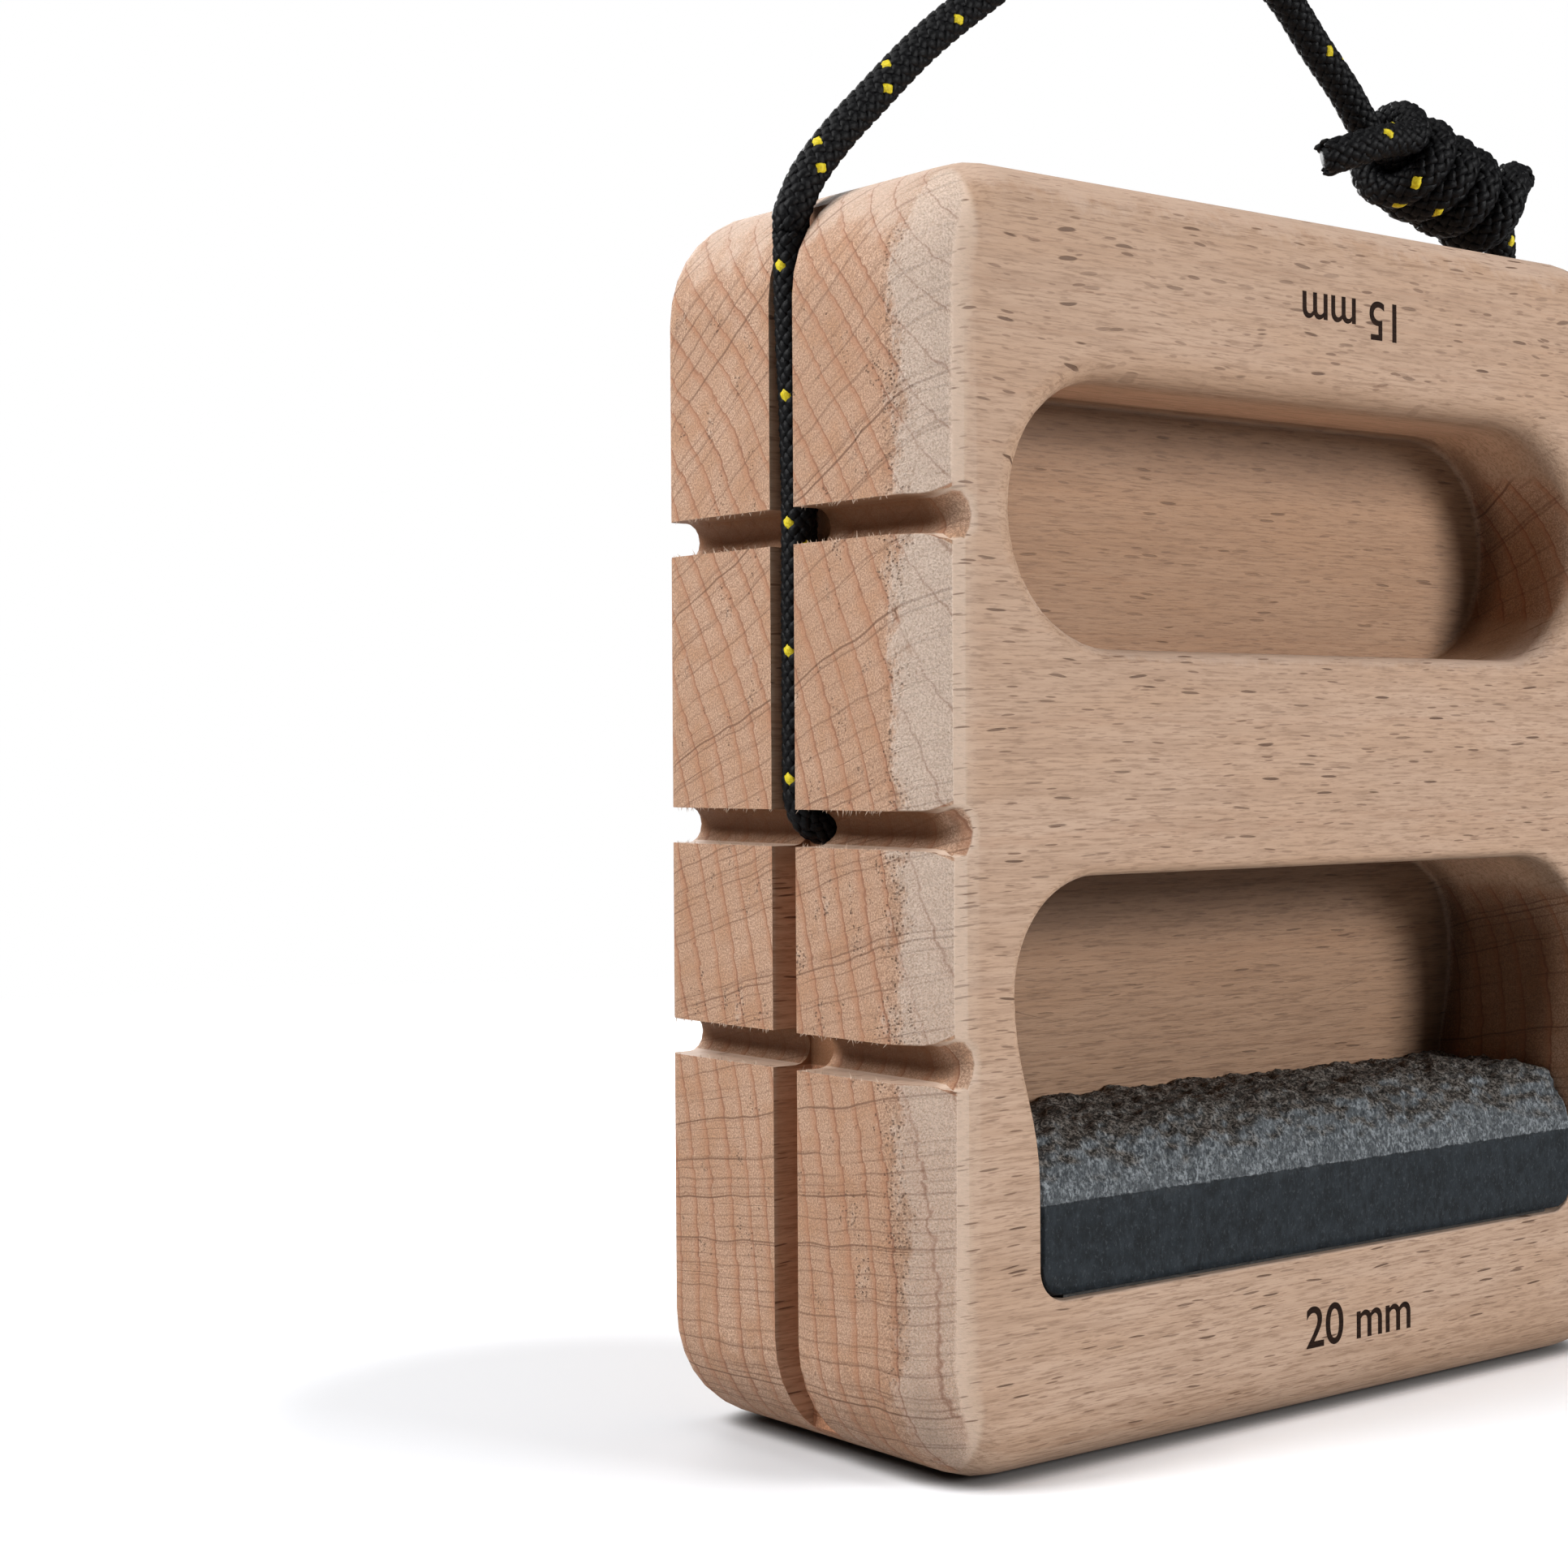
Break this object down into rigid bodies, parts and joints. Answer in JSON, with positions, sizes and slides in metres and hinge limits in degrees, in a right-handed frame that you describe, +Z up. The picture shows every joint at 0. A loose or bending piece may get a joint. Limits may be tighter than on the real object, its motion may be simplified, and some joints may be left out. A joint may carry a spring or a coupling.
{
  "type": "portable hangboard",
  "caption": "Portable climbing hangboard: a rounded beech block with a stadium finger pocket, a lower pocket holding a stone edge, and a knotted cord loop through its ends.",
  "frame": {"origin": "middle of the block's underside, the face that it stands on", "axes": "+X along the block's length to the right as seen from the front, +Z up; the finger pockets open toward -Y"},
  "size_m": [0.121, 0.045, 0.1741],
  "materials": {
    "beech": "matte",
    "stone": "matte",
    "adhesive": "satin",
    "cord": "matte"
  },
  "bodies": {
    "block": {"wood_block": "beech", "stone_insert": "stone", "stone_adhesive": "adhesive", "cord_left_run": "cord", "cord_bore_run": "cord", "cord_right_run": "cord"},
    "loop": {"cord_loop": "cord", "cord_knot": "cord"}
  },
  "joints": [
    {"name": "cord_loop_tilt", "type": "hinge", "parent": "block", "child": "loop", "pos_m": [0, 0, 0.131], "axis": [1, 0, 0], "range_deg": [-31, 24]}
  ]
}
